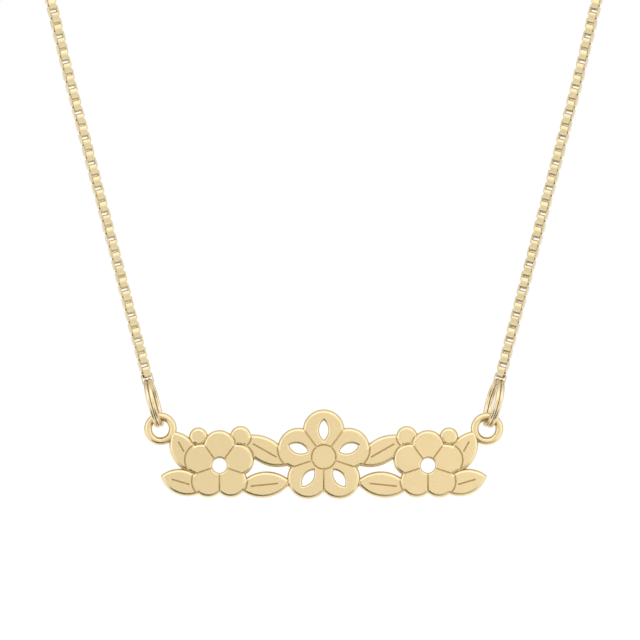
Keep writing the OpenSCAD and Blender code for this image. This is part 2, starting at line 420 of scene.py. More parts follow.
def boolean(
    obj: bpy.types.Object, operands: Iterable[bpy.types.Object], operation: str
) -> None:
    """Joins, cuts or intersects an object with others, and removes them.

    Args:
        obj: The object that is changed.
        operands: The others.
        operation: UNION, DIFFERENCE or INTERSECT.
    """
    group = bpy.data.collections.new("operands")
    operands = list(operands)
    for o in operands:
        group.objects.link(o)
    mod = obj.modifiers.new("boolean", "BOOLEAN")
    mod.operation = operation
    mod.solver = "MANIFOLD"
    mod.operand_type = "COLLECTION"
    mod.collection = group
    evaluated = obj.evaluated_get(bpy.context.evaluated_depsgraph_get())
    done = bpy.data.meshes.new_from_object(evaluated)
    obj.modifiers.clear()
    old = obj.data
    obj.data = done
    bpy.data.meshes.remove(old)
    for o in operands:
        mesh = o.data
        bpy.data.objects.remove(o)
        bpy.data.meshes.remove(mesh)
    bpy.data.collections.remove(group)


def dress(
    obj: bpy.types.Object,
    material: bpy.types.Material,
    body: str,
    replaced: Sequence[str],
) -> None:
    """Gives a piece its finish and its place in the part.

    Args:
        obj: The piece.
        material: Its material.
        body: The body that it rides on.
        replaced: The CAD nodes that it stands for.
    """
    obj.data.materials.clear()
    obj.data.materials.append(material)
    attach(obj, body)
    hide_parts(*replaced)
    log.info("%s: %d faces", obj.name, len(obj.data.polygons))


# The worn loop


def square_to(t: Vector, v: Vector) -> Vector:
    """Returns the direction nearest to v that is square to the direction t."""
    return (v - v.dot(t) * t).normalized()


@dataclass(frozen=True)
class Loop:
    """How the pieces hang on each other, at the same places as the solids.

    Attributes:
        ring_span: Distance between the centres of the plate's end rings.
        depth: How far the plate hangs in front of the nape.
        drop: How far the end rings hang below the nape.
        half_width: Half of the loop's width at the sides of the neck.
        fall_angle: Angle between each fall of chain and the upright.
        end_ring: The ring at each end of the plate.
        jump_turn: One of the two turns of a jump ring's wire.
        jump_pitch: Distance between the middles of the two turns.
        hang_gap: Free play between an end ring and its jump ring.
        link_hole: Clear width and length of an end link.
        link_t: Thickness of an end link's strip.
        link_w: Width of an end link's strip.
        play: How far the parts of a chain's end keep from each other.
        clasp_ring: The clasp's ring.
        eye: The clasp's small eye.
        catch_ring: The ring that the clasp closes on.
        sink: How deep the clasp's eye and knob sink into its ring.
        marks: Places of the fall's points above the end ring, as shares of drop.
        neck: Points round the neck, as shares of half_width, -depth and -drop.
    """

    ring_span: float = 35.1
    depth: float = 98.0
    drop: float = 104.0
    half_width: float = 53.0
    fall_angle: float = math.radians(14.6)
    end_ring: WireRing = WireRing(1.33, 0.86, sides=20, steps=64)
    jump_turn: WireRing = WireRing(2.48, 0.44, sides=24, steps=96)
    jump_pitch: float = 0.42
    hang_gap: float = 0.25
    link_hole: Pair = (1.04, 1.0)
    link_t: float = 0.13
    link_w: float = 0.5
    play: float = 0.06
    clasp_ring: WireRing = WireRing(2.45, 1.1, sides=24, steps=96)
    eye: WireRing = WireRing(0.9, 0.6, sides=20, steps=48)
    catch_ring: WireRing = WireRing(1.9, 0.6, sides=20, steps=72)
    sink: float = 0.3
    marks: Triple = (0.21, 0.365, 0.52)
    neck: tuple[Triple, ...] = (
        (0.71, 0.96, 0.356),
        (0.84, 0.872, 0.23),
        (0.945, 0.75, 0.13),
        (1.0, 0.6, 0.063),
        (0.98, 0.434, 0.02),
        (0.88, 0.28, 0.0),
        (0.68, 0.143, 0.0),
        (0.415, 0.041, 0.0),
    )

    @property
    def link_size(self) -> Pair:
        """Returns the outer width and length of an end link."""
        width, length = self.link_hole
        return width + 2 * self.link_t, length + 2 * self.link_t

    def link_foot(self, ring: WireRing) -> float:
        """Returns how far from a ring's centre the foot of the link that it holds lies."""
        bearing = math.sqrt(ring.inside**2 - (self.link_w / 2) ** 2) - self.play
        return bearing - self.link_t

    @property
    def jump_z(self) -> float:
        """Returns how far up the fall line a jump ring's centre lies."""
        hang_r = self.end_ring.inside - self.hang_gap - self.jump_turn.wire / 2
        return math.sqrt(hang_r**2 - (self.jump_pitch / 2) ** 2) + self.jump_turn.radius

    @property
    def front_link_z(self) -> float:
        """Returns how far up the fall line the foot of a front link lies."""
        return self.jump_z + self.link_foot(self.jump_turn)

    @property
    def chain_start(self) -> float:
        """Returns how far up the fall line a half chain starts."""
        return self.front_link_z + self.link_size[1] + self.play

    @property
    def eye_x(self) -> float:
        """Returns the place of the clasp's eye, from the clasp's centre."""
        return -(self.clasp_ring.radius + self.clasp_ring.wire / 2 + self.eye.radius - self.sink)

    @property
    def catch_x(self) -> float:
        """Returns the place of the catch ring, from the clasp's centre."""
        return self.clasp_ring.inside - self.play - self.catch_ring.wire / 2 + self.catch_ring.radius

    def back_link_x(self, side: Side) -> float:
        """Places a back link, which hangs on the clasp's eye or on the catch ring.

        Args:
            side: Which one.

        Returns:
            The place of its foot along X, from the clasp's centre.
        """
        if side is Side.LEFT:
            return self.eye_x - self.link_foot(self.eye)
        return self.catch_x + self.link_foot(self.catch_ring)

    @property
    def clasp_x(self) -> float:
        """Returns the place of the clasp's centre, which leaves both halves alike."""
        return -(self.back_link_x(Side.LEFT) + self.back_link_x(Side.RIGHT)) / 2

    @property
    def nape_half(self) -> float:
        """Returns how far from the middle of the nape a half chain ends."""
        feet = self.back_link_x(Side.RIGHT) - self.back_link_x(Side.LEFT)
        return feet / 2 + self.link_size[1] + self.play

    @property
    def right_end(self) -> Vector:
        """Returns the centre of the right end ring."""
        return Vector((self.ring_span / 2, -self.depth, -self.drop))

    def fall_frame(self) -> Matrix:
        """Returns the turn and place of the right fall line, Z running up it."""
        return Matrix.Translation(self.right_end) @ Matrix.Rotation(self.fall_angle, 4, "Y")

    def route(self) -> list[Vector]:
        """Lays out the right half of the chain: up the fall line and round the neck.

        Returns:
            The points that it follows, from its first link to its last.
        """
        up = Vector((math.sin(self.fall_angle), 0, math.cos(self.fall_angle)))
        falls = [self.chain_start] + [m * self.drop for m in self.marks]
        points = [self.right_end + d * up for d in falls]
        points += [
            Vector((x * self.half_width, -y * self.depth, -z * self.drop)) for x, y, z in self.neck
        ]
        return points + [Vector((self.nape_half, 0, 0))]

    def centre_line(self, steps: int = 60) -> list[Vector]:
        """Samples the smooth curve through the route.

        Args:
            steps: Samples for each stretch between two points.

        Returns:
            Points close together along the right half of the chain.
        """
        route = self.route()
        before = 2 * route[0] - route[1]
        after = Vector((2 * route[-1].x - route[-2].x, route[-2].y, route[-2].z))
        guide = [before] + route + [after]
        line = []
        for a, b, c, d in zip(guide, guide[1:], guide[2:], guide[3:]):
            for k in range(steps):
                t = k / steps
                line.append(
                    0.5 * (2 * b + (c - a) * t + (2 * a - 5 * b + 4 * c - d) * t * t
                           + (3 * b - 3 * c + d - a) * t**3)
                )
        return line + [route[-1]]


# The plate


# Petals of a blossom, and the direction of the first one in degrees: straight up
PETALS = 5
FIRST_PETAL = 90
# Where the leaves' roots and one tip lie on the blossoms: the direction from the
# blossom's centre in degrees, and the distance as a share of the blossom's reach
INNER_LOW_ROOT = (-38, 0.86)
INNER_HIGH_ROOT = (-14, 0.72)
INNER_LOW_TIP = (-129, 0.79)
OUTER_LOW_ROOT = (-61, 0.76)
OUTER_HIGH_ROOT = (-19, 0.69)
# Direction from an end ring's centre to the leaf that meets it
END_RING_MEET = 190
# A face whose normal has at least this much of the Y axis is ground flat
FLAT = 0.9999
# Edges shorter than this are closed up after the cuts, in metres
SLIVER = 1e-6


def polar(centre: Pair, r: float, degrees: float) -> Pair:
    """Returns the point at a distance and direction from another."""
    a = math.radians(degrees)
    return centre[0] + r * math.cos(a), centre[1] + r * math.sin(a)


@dataclass(frozen=True)
class Disc:
    """A round motif: a petal or a berry."""

    x: float
    z: float
    r: float

    def depth_of(self, x: float, z: float) -> float:
        """Returns how deep a point lies inside the motif."""
        return self.r - math.hypot(x - self.x, z - self.z)


@dataclass(frozen=True)
class Leaf:
    """A pointed oval motif between two tips."""

    start: Pair
    end: Pair
    width: float

    @property
    def discs(self) -> tuple[Disc, Disc]:
        """Works out the two equal discs that cross at the leaf's tips.

        Returns:
            The discs, whose overlap is the leaf.
        """
        (x0, z0), (x1, z1) = self.start, self.end
        length = math.hypot(x1 - x0, z1 - z0)
        r = (length**2 + self.width**2) / (4 * self.width)
        d = r - self.width / 2
        nx, nz = -(z1 - z0) / length, (x1 - x0) / length
        mx, mz = (x0 + x1) / 2, (z0 + z1) / 2
        return Disc(mx + d * nx, mz + d * nz, r), Disc(mx - d * nx, mz - d * nz, r)

    def depth_of(self, x: float, z: float) -> float:
        """Returns how deep a point lies inside the motif."""
        return min(disc.depth_of(x, z) for disc in self.discs)


@dataclass(frozen=True)
class Blossom:
    """A blossom of round petals about an eye.

    Attributes:
        centre: Its place on the plate.
        ring: Distance from its centre to the middle of a petal.
        petal_r: Radius of a petal.
        eye_r: Radius of its eye.
    """

    centre: Pair
    ring: float
    petal_r: float
    eye_r: float

    @property
    def eye(self) -> Disc:
        """Returns the blossom's eye."""
        return Disc(*self.centre, self.eye_r)

    @property
    def petals(self) -> list[Disc]:
        """Returns the petals, the first one on top."""
        turns = [FIRST_PETAL + 360 * i / PETALS for i in range(PETALS)]
        return [Disc(*polar(self.centre, self.ring, a), self.petal_r) for a in turns]

    @property
    def notch(self) -> float:
        """Works out where the edges of two neighbouring petals cross.

        Returns:
            How far that notch lies from the centre.
        """
        half_step = math.pi / PETALS
        across = self.ring * math.sin(half_step)
        return self.ring * math.cos(half_step) + math.sqrt(self.petal_r**2 - across**2)

    def on(self, direction: float, share: float) -> Pair:
        """Returns the point in a direction, at a share of the blossom's reach."""
        return polar(self.centre, share * (self.ring + self.petal_r), direction)


@dataclass
class Plate:
    """The pierced plate: blossoms over berries over leaves, between two end rings.

    Places on it are (across, up from the foot).

    Attributes:
        loop: Where it hangs.
        ring_height: Height of the end rings' centres.
        thickness: Its thickness.
        edge_r: Radius of its rounded outer edges.
        rim_r: Radius of the rounded rims of its holes.
        groove_half_w: Half the width of an engraved line.
        groove_depth: Depth of an engraved line.
        main: The blossom in the middle.
        eye_lap: How far the main blossom's middle reaches under its petals.
        drop_l: Length of the pierced drop in a petal.
        drop_w: Width of the drop.
        side: The blossom on the right, mirrored on the left.
        berry_reach: Distance of a berry's centre from its blossom's centre.
        inner_berry: Radius of the berries nearer to the middle.
        outer_berry: Radius of the other berries.
        leaf_w: Width of a leaf.
        tip_z: Height of the outer leaves' free tips.
        rib_share: Share of a leaf's length that its rib takes.
        rib_gap: How far a rib keeps from what lies over its leaf.
        seam_depth: How far inside the motif behind it an edge shows as a seam.
        shortest_seam: Seams that turn less than this, in degrees, are left out.
        line_lap: How far the line between two petals runs past their notch.
        cut: Overshoot of a cut past the face that it opens.
        steps: Steps round a disc of up to wide_r, which a wider one has more of.
        wide_r: That radius.
        round_steps: Steps of a rounded edge.
        groove_sides: Sides of a round cutter of lines.
    """

    loop: Loop
    ring_height: float = 7.75
    thickness: float = 1.0
    edge_r: float = 0.45
    rim_r: float = 0.27
    groove_half_w: float = 0.08
    groove_depth: float = 0.12
    main: Blossom = Blossom((0.0, 4.75), ring=2.85, petal_r=2.25, eye_r=1.3)
    eye_lap: float = 0.2
    drop_l: float = 2.1
    drop_w: float = 1.0
    side: Blossom = Blossom((11.2, 3.8), ring=2.05, petal_r=1.78, eye_r=0.78)
    berry_reach: float = 3.85
    inner_berry: float = 1.15
    outer_berry: float = 1.0
    leaf_w: float = 2.85
    tip_z: float = 2.7
    rib_share: float = 0.5
    rib_gap: float = 0.25
    seam_depth: float = 0.12
    shortest_seam: int = 3
    line_lap: float = 0.15
    cut: float = 0.2
    steps: int = 72
    wide_r: float = 2.2
    round_steps: int = 5
    groove_sides: int = 12
    leaves: list[Leaf] = field(default_factory=list)
    berries: list[Disc] = field(default_factory=list)
    sides: list[Blossom] = field(default_factory=list)

    def __post_init__(self) -> None:
        """Places the motifs, the right half's first."""
        half_step = 180 / PETALS
        inner = polar(self.side.centre, self.berry_reach, FIRST_PETAL + half_step)
        outer = polar(self.side.centre, self.berry_reach, FIRST_PETAL - half_step)
        end = (self.loop.ring_span / 2, self.ring_height)
        end_tip = polar(end, self.loop.end_ring.radius, END_RING_MEET)
        tips = [
            (self.main.on(*INNER_LOW_ROOT), self.side.on(*INNER_LOW_TIP)),
            (self.main.on(*INNER_HIGH_ROOT), inner),
            (self.side.on(*OUTER_LOW_ROOT), (end[0], self.tip_z)),
            (self.side.on(*OUTER_HIGH_ROOT), end_tip),
        ]
        for s in (1, -1):
            self.leaves += [Leaf((s * a, b), (s * c, d), self.leaf_w) for (a, b), (c, d) in tips]
            self.berries += [
                Disc(s * inner[0], inner[1], self.inner_berry),
                Disc(s * outer[0], outer[1], self.outer_berry),
            ]
            x, z = self.side.centre
            self.sides.append(
                Blossom((s * x, z), self.side.ring, self.side.petal_r, self.side.eye_r)
            )

    @property
    def quarter(self) -> list[Pair]:
        """Returns the sine and cosine at each step of a rounded edge."""
        turns = [QUARTER * i / self.round_steps for i in range(self.round_steps + 1)]
        return [(math.sin(a), math.cos(a)) for a in turns]

    def stand(
        self, bm: bmesh.types.BMesh, at: Pair, name: str, turn: float = 0.0
    ) -> bpy.types.Object:
        """Puts a mesh made about the Y axis at its place on the plate.

        Args:
            bm: The mesh, freed here.
            at: Its place on the plate.
            name: The object's name.
            turn: Turn in the plate's plane first, in radians, from +X up.

        Returns:
            The object.
        """
        x, z = at
        middle = Vector((x, -self.loop.depth, z - self.ring_height - self.loop.drop))
        move(bm, Matrix.Translation(middle) @ Matrix.Rotation(-turn, 4, "Y"))
        return to_object(bm, name)

    def pebble(self, disc: Disc) -> bpy.types.Object:
        """Builds a disc of the plate's thickness with rounded edges.

        Args:
            disc: The motif.

        Returns:
            The disc as a closed object.
        """
        half, r = self.thickness / 2, self.edge_r
        arc = [(disc.r - r + r * s, half - r + r * c) for s, c in self.quarter]
        profile = [(0.0, half)] + arc + [(x, -y) for x, y in reversed(arc)] + [(0.0, -half)]
        steps = max(self.steps, int(self.steps * disc.r / self.wide_r))
        return self.stand(spun(profile, steps), (disc.x, disc.z), "motif")

    def flare(self, disc: Disc) -> bpy.types.Object:
        """Builds the cutter of a hole whose rims are rounded.

        Args:
            disc: The hole at mid thickness.

        Returns:
            The cutter as a closed object.
        """
        half, r = self.thickness / 2, self.rim_r
        arc = [(disc.r + r - r * c, half - r + r * s) for s, c in self.quarter]
        front = arc + [(disc.r + r, half + self.cut), (0.0, half + self.cut)]
        profile = [(x, -y) for x, y in reversed(front)] + front
        return self.stand(spun(profile, self.steps), (disc.x, disc.z), "hole")

    def groove_line(self, start: Pair, end: Pair) -> bpy.types.Object:
        """Builds the cutter of a straight engraved line.

        Args:
            start: Its first end.
            end: Its other end.

        Returns:
            The cutter as a closed object.
        """
        bm = bmesh.new()
        bmesh.ops.create_cone(
            bm, cap_ends=True, segments=self.groove_sides, radius1=1, radius2=1,
            depth=math.dist(start, end), matrix=Matrix.Rotation(QUARTER, 4, "Y"),
        )
        bmesh.ops.scale(bm, vec=(1, self.groove_depth, self.groove_half_w), verts=bm.verts)
        bmesh.ops.translate(bm, vec=(0, -self.thickness / 2, 0), verts=bm.verts)
        turn = math.atan2(end[1] - start[1], end[0] - start[0])
        middle = ((start[0] + end[0]) / 2, (start[1] + end[1]) / 2)
        return self.stand(bm, middle, "groove", turn)

    def groove_arc(self, disc: Disc, first: float = 0, last: float = 360) -> bpy.types.Object:
        """Builds the cutter of an engraved line along a motif's edge.

        Args:
            disc: The motif.
            first: Direction from its centre where the line starts, in degrees.
            last: Direction where it ends, counted on from the first.

        Returns:
            The cutter as a closed object.
        """
        foot = -self.thickness / 2
        turns = [math.tau * i / self.groove_sides for i in range(self.groove_sides)]
        section = [
            (disc.r + self.groove_half_w * math.cos(a), foot + self.groove_depth * math.sin(a))
            for a in turns
        ]
        sweep = math.radians(last - first)
        steps = max(4, round(self.steps * sweep / math.tau))
        bm = spun(section, steps, closed=True, angle=sweep)
        # A spin about +Y runs from +X down to -Z, so the arc starts at its last direction
        return self.stand(bm, (disc.x, disc.z), "groove", math.radians(last))

    def seams(
        self, front: Sequence[Disc], behind: Sequence[Disc | Leaf], above: Sequence[Disc]
    ) -> list[bpy.types.Object]:
        """Builds the cutters where motifs lie over others.

        Args:
            front: The discs of one motif, whose edges are engraved.
            behind: The motifs that it lies over.
            above: Motifs that hide it in turn.

        Returns:
            The cutters.
        """
        found = []
        for disc in front:
            others = [d for d in front if d is not disc] + list(above)
            over = []
            for degree in range(360):
                point = polar((disc.x, disc.z), disc.r, degree)
                inside = any(m.depth_of(*point) > self.seam_depth for m in behind)
                over.append(inside and all(m.depth_of(*point) < 0 for m in others))
            if all(over):
                found.append(self.groove_arc(disc))
                continue
            first = over.index(False)
            run: list[int] = []
            # Once round and back to the first bare degree, which ends the last run
            for degree in range(first, first + 361):
                if over[degree % 360]:
                    run.append(degree)
                    continue
                if len(run) > self.shortest_seam:
                    found.append(self.groove_arc(disc, run[0], run[-1]))
                run = []
        return found

    def petal_lines(self, blossom: Blossom) -> list[bpy.types.Object]:
        """Builds the cutters of the lines between a blossom's petals.

        Args:
            blossom: The blossom.

        Returns:
            The cutters.
        """
        lines = []
        for i in range(PETALS):
            a = FIRST_PETAL + 360 * (i + 0.5) / PETALS
            root = polar(blossom.centre, blossom.eye_r, a)
            lines.append(
                self.groove_line(root, polar(blossom.centre, blossom.notch + self.line_lap, a))
            )
        return lines

    def rib(self, leaf: Leaf) -> bpy.types.Object:
        """Builds the cutter of a leaf's rib, clear of what lies over the leaf.

        Args:
            leaf: The leaf.

        Returns:
            The cutter.
        """
        over = [*self.main.petals, *self.berries, *(d for b in self.sides for d in b.petals)]
        (x0, z0), (x1, z1) = leaf.start, leaf.end
        first, last = 50 * (1 - self.rib_share), 50 * (1 + self.rib_share)
        shares = [percent / 100 for percent in range(int(first), int(last) + 1)]
        points = [(x0 + k * (x1 - x0), z0 + k * (z1 - z0)) for k in shares]
        free = [p for p in points if all(m.depth_of(*p) < -self.rib_gap for m in over)]
        return self.groove_line(free[0], free[-1])

    def drops(self) -> list[bpy.types.Object]:
        """Builds the cutters of the pierced drops in the main blossom's petals.

        Returns:
            The cutters.
        """
        found = []
        for i in range(PETALS):
            a = FIRST_PETAL + 360 * i / PETALS
            tips = [
                polar(self.main.centre, self.main.ring + k * self.drop_l / 2, a) for k in (-1, 1)
            ]
            one, other = (self.flare(d) for d in Leaf(*tips, self.drop_w).discs)
            boolean(one, [other], "INTERSECT")
            found.append(one)
        return found

    def build(self, material: bpy.types.Material) -> None:
        """Builds the plate and dresses it.

        Args:
            material: Its gold.
        """
        main_petals = self.main.petals
        side_petals = [blossom.petals for blossom in self.sides]
        all_side = [d for petals in side_petals for d in petals]
        middle = Disc(*self.main.centre, self.main.eye_r + self.eye_lap)
        motifs = [self.pebble(d) for d in [*main_petals, middle, *all_side, *self.berries]]
        for leaf in self.leaves:
            one, other = (self.pebble(d) for d in leaf.discs)
            boolean(one, [other], "INTERSECT")
            motifs.append(one)
        for s in (-1, 1):
            at = (s * self.loop.ring_span / 2, self.ring_height)
            motifs.append(self.stand(self.loop.end_ring.mesh(), at, "end_ring"))
        plate = motifs[0]
        boolean(plate, motifs[1:], "UNION")
        eyes = [self.flare(b.eye) for b in reversed(self.sides)]
        boolean(plate, eyes + self.drops(), "DIFFERENCE")

        grooves = self.seams(main_petals, self.leaves, [])
        for petals in side_petals:
            grooves += self.seams(petals, [*self.leaves, *self.berries], main_petals)
        for berry in self.berries:
            grooves += self.seams([berry], self.leaves, [*all_side, *main_petals])
        boolean(plate, grooves, "DIFFERENCE")

        blossoms = [self.main, *reversed(self.sides)]
        lines = [line for b in blossoms for line in self.petal_lines(b)]
        boolean(plate, lines + [self.rib(leaf) for leaf in self.leaves], "DIFFERENCE")
        boolean(plate, [self.groove_arc(self.main.eye)], "DIFFERENCE")

        self.finish(plate)
        plate.name = plate.data.name = "ornament_plate"
        dress(plate, material, "plate", ["nameplate"])

    def finish(self, plate: bpy.types.Object) -> None:
        """Cleans the plate's mesh and keeps its ground faces flat in the light.

        Args:
            plate: The plate after its cuts.
        """
        bm = bmesh.new()
        bm.from_mesh(plate.data)
        bmesh.ops.dissolve_degenerate(bm, edges=bm.edges, dist=SLIVER)
        shade(bm)
        bm.to_mesh(plate.data)
        bm.free()
        # The rounding starts square to the flat, so what meets a flat takes its direction
        mesh = plate.data
        flats = {}
        for face in mesh.polygons:
            if abs(face.normal.y) > FLAT:
                for v in face.vertices:
                    flats[v] = Vector((0, math.copysign(1, face.normal.y), 0))
        directions = [corner.vector.copy() for corner in mesh.corner_normals]
        for face in mesh.polygons:
            for corner in face.loop_indices:
                flat = flats.get(mesh.loops[corner].vertex_index)
                if flat and face.normal.angle(flat) < SHARP_EDGE:
                    directions[corner] = flat
        mesh.normals_split_custom_set(directions)


# Rings and links


@dataclass
class Rings:
    """The jump rings, and the first and last links of the chain.

    Attributes:
        loop: Where they hang.
        left_turn: Turn of the left jump ring about the fall line.
        right_turn: Turn of the right jump ring about the fall line.
        rim: How far from a link's edges their rounding starts.
    """

    loop: Loop
    left_turn: float = math.radians(4)
    right_turn: float = math.radians(9)
    rim: float = 0.035

    def two_turns(self) -> list[Pair]:
        """Gives the section of a wire that goes twice round, its turns soldered together.

        Returns:
            Points (distance from the axis, place along Y).
        """
        turn, shift = self.loop.jump_turn, self.loop.jump_pitch / 2
        r = turn.wire / 2
        # Where the two turns meet, as an angle on the first one from +X towards +Y
        meet = -math.asin(shift / r)
        sweep = math.pi - 2 * meet
        arc = [
            (turn.radius + r * math.cos(a), shift + r * math.sin(a))
            for a in (meet + sweep * i / turn.sides for i in range(turn.sides + 1))
        ]
        return arc + [(x, -y) for x, y in reversed(arc[1:-1])]

    def on_side(self, bm: bmesh.types.BMesh, side: Side, name: str) -> bpy.types.Object:
        """Mirrors a right-hand mesh for the left side, and makes it an object."""
        bmesh.ops.scale(bm, vec=(side.value, 1, 1), verts=bm.verts)
        return to_object(bm, name)

    def jump_ring(self, side: Side) -> bpy.types.Object:
        """Builds a jump ring, on edge in the fall line.

        Args:
            side: Which one.

        Returns:
            The ring.
        """
        bm = spun(self.two_turns(), self.loop.jump_turn.steps, closed=True)
        turn = self.left_turn if side is Side.LEFT else self.right_turn
        place = (
            self.loop.fall_frame()
            @ Matrix.Translation((0, 0, self.loop.jump_z))
            @ Matrix.Rotation(turn, 4, "Z")
            @ Matrix.Rotation(QUARTER, 4, "Z")
        )
        move(bm, place)
        return self.on_side(bm, side, f"jump_ring_{side.word}_wire")

    def link_mesh(self) -> bmesh.types.BMesh:
        """Builds an end link, its foot at the origin, standing up Z, open along Y.

        Returns:
            The link as a mesh.
        """
        size, strip_t, strip_w = self.loop.link_size, self.loop.link_t, self.loop.link_w
        bm = strip_link(size, strip_t, strip_w, corner=2 * strip_t, segments=6)
        round_rims(bm, self.rim, segments=2)
        stand = (
            Matrix.Translation((0, 0, size[1] / 2))
            @ Matrix.Rotation(QUARTER, 4, "X")
            @ Matrix.Translation((0, 0, -strip_w / 2))
        )
        move(bm, stand)
        return bm

    def front_link(self, side: Side) -> bpy.types.Object:
        """Builds the link that joins a half chain to its jump ring.

        Args:
            side: Which one.

        Returns:
            The link.
        """
        bm = self.link_mesh()
        move(bm, self.loop.fall_frame() @ Matrix.Translation((0, 0, self.loop.front_link_z)))
        return self.on_side(bm, side, f"front_link_{side.word}_strip")

    def back_link(self, side: Side) -> bpy.types.Object:
        """Builds the link that joins a half chain to the clasp or its catch ring.

        Args:
            side: Which one.

        Returns:
            The link.
        """
        bm = self.link_mesh()
        foot = self.loop.clasp_x + self.loop.back_link_x(side)
        move(bm, Matrix.Translation((foot, 0, 0)) @ Matrix.Rotation(side.value * QUARTER, 4, "Y"))
        return to_object(bm, f"back_link_{side.word}_strip")

    def build(self, wire: bpy.types.Material, strip: bpy.types.Material) -> None:
        """Builds and dresses the jump rings and the end links.

        Args:
            wire: Gold of the rings.
            strip: Gold of the links.
        """
        for side in Side:
            dress(self.jump_ring(side), wire, "loop", [f"jump_ring_{side.word}"])
            dress(self.front_link(side), strip, "loop", [f"front_link_{side.word}"])
            dress(self.back_link(side), strip, "loop", [f"back_link_{side.word}"])


@dataclass
class BoxChain:
    """The box chain: square links of folded strip, each turned across the last.

    Attributes:
        loop: The way that it takes.
        length: Length of a link.
        width: Width of a link.
        strip_t: Thickness of the strip.
        strip_w: Width of the strip.
        corner: How far from a link's corners their rounding starts.
        links: Links of one half.
        front_reach: How far from the chain's start the first link's middle lies.
        back_reach: How far from its end the last link's middle lies.
        turn: Turn of the chain about its own line.
        shift: How far every other front link stands off its even place.
        shifts: That shift's sign for four links on end.
        lean: How far the links lean forward and back.
        leans: That lean's sign for four links on end.
        slack: How far a link may lie askew.
        seed: What the askew links are drawn from.
    """

    loop: Loop
    length: float = 1.26
    width: float = 1.09
    strip_t: float = 0.17
    strip_w: float = 0.74
    corner: float = 0.24
    links: int = 285
    front_reach: float = 0.095
    back_reach: float = 0.11
    turn: float = math.radians(15)
    shift: float = 0.035
    shifts: tuple[int, ...] = (-1, 0, 1, 0)
    lean: float = math.radians(2)
    leans: tuple[int, ...] = (1, 1, -1, -1)
    slack: float = math.radians(2)
    seed: int = 4

    def link_mesh(self) -> bmesh.types.BMesh:
        """Builds one link about the origin, its length along X, open along Z.

        Returns:
            The link as a mesh of a few dozen faces.
        """
        size = (self.length, self.width)
        bm = strip_link(size, self.strip_t, self.strip_w, self.corner, segments=2)
        bmesh.ops.translate(bm, vec=(0, 0, -self.strip_w / 2), verts=bm.verts)
        return bm

    def frames(self) -> list[Matrix]:
        """Places the links of the right half along the route.

        Returns:
            For each link its turn and place, its length along X and its front along Y.
        """
        line = self.loop.centre_line()
        reach = [0.0]
        for a, b in zip(line, line[1:]):
            reach.append(reach[-1] + (b - a).length)
        tangents = [(b - a).normalized() for a, b in zip(line, line[1:])]
        tangents.append(tangents[-1])
        out = Vector((-math.sin(self.turn), -math.cos(self.turn), 0))
        normals = []
        for t in tangents:
            out = square_to(t, out)
            normals.append(out.copy())
        # What is left of the twist at the nape is spread over the stretch round the neck
        t, n = tangents[-1], normals[-1]
        goal = square_to(t, Vector((0, 1, 0)))
        twist = math.atan2(n.cross(goal).dot(t), n.dot(goal))
        neck_start = self.loop.marks[-1] * self.loop.drop - self.loop.chain_start
        span = reach[-1] - self.front_reach - self.back_reach
        placed, k = [], 0
        play = random.Random(self.seed)
        for i in range(self.links):
            s = self.front_reach + span * i / (self.links - 1) + self.shift * self.shifts[i % 4]
            while k < len(reach) - 2 and reach[k + 1] < s:
                k += 1
            at = line[k].lerp(line[k + 1], (s - reach[k]) / (reach[k + 1] - reach[k]))
            t = tangents[k]
            ease = max(0.0, (s - neck_start) / (reach[-1] - neck_start))
            n = Matrix.Rotation(twist * ease, 3, t) @ normals[k]
            b = t.cross(n)
            y, z = (n, b) if i % 2 == 0 else (b, -n)
            turn = Matrix((t, y, z)).transposed().to_4x4()
            turn = turn @ Matrix.Rotation(self.lean * self.leans[i % 4], 4, "Z")
            for axis in "XZ":
                turn = turn @ Matrix.Rotation(play.uniform(-self.slack, self.slack), 4, axis)
            placed.append(Matrix.Translation(at) @ turn)
        return placed

    def half(self, side: Side) -> bpy.types.Object:
        """Builds one half of the chain as a joined mesh.

        Args:
            side: Which half.

        Returns:
            The chain.
        """
        bm = self.link_mesh()
        pattern = bm.verts[:] + bm.edges[:] + bm.faces[:]
        for place in self.frames():
            copy = bmesh.ops.duplicate(bm, geom=pattern)["geom"]
            bmesh.ops.transform(bm, matrix=place, verts=corners(copy))
        bmesh.ops.delete(bm, geom=corners(pattern), context="VERTS")
        bmesh.ops.scale(bm, vec=(side.value, 1, 1), verts=bm.verts)
        return to_object(bm, f"box_chain_{side.word}")

    def build(self, material: bpy.types.Material) -> None:
        """Builds and dresses both halves.

        Args:
            material: Gold of the links.
        """
        for side in Side:
            dress(self.half(side), material, "loop", [f"chain_{side.word}"])


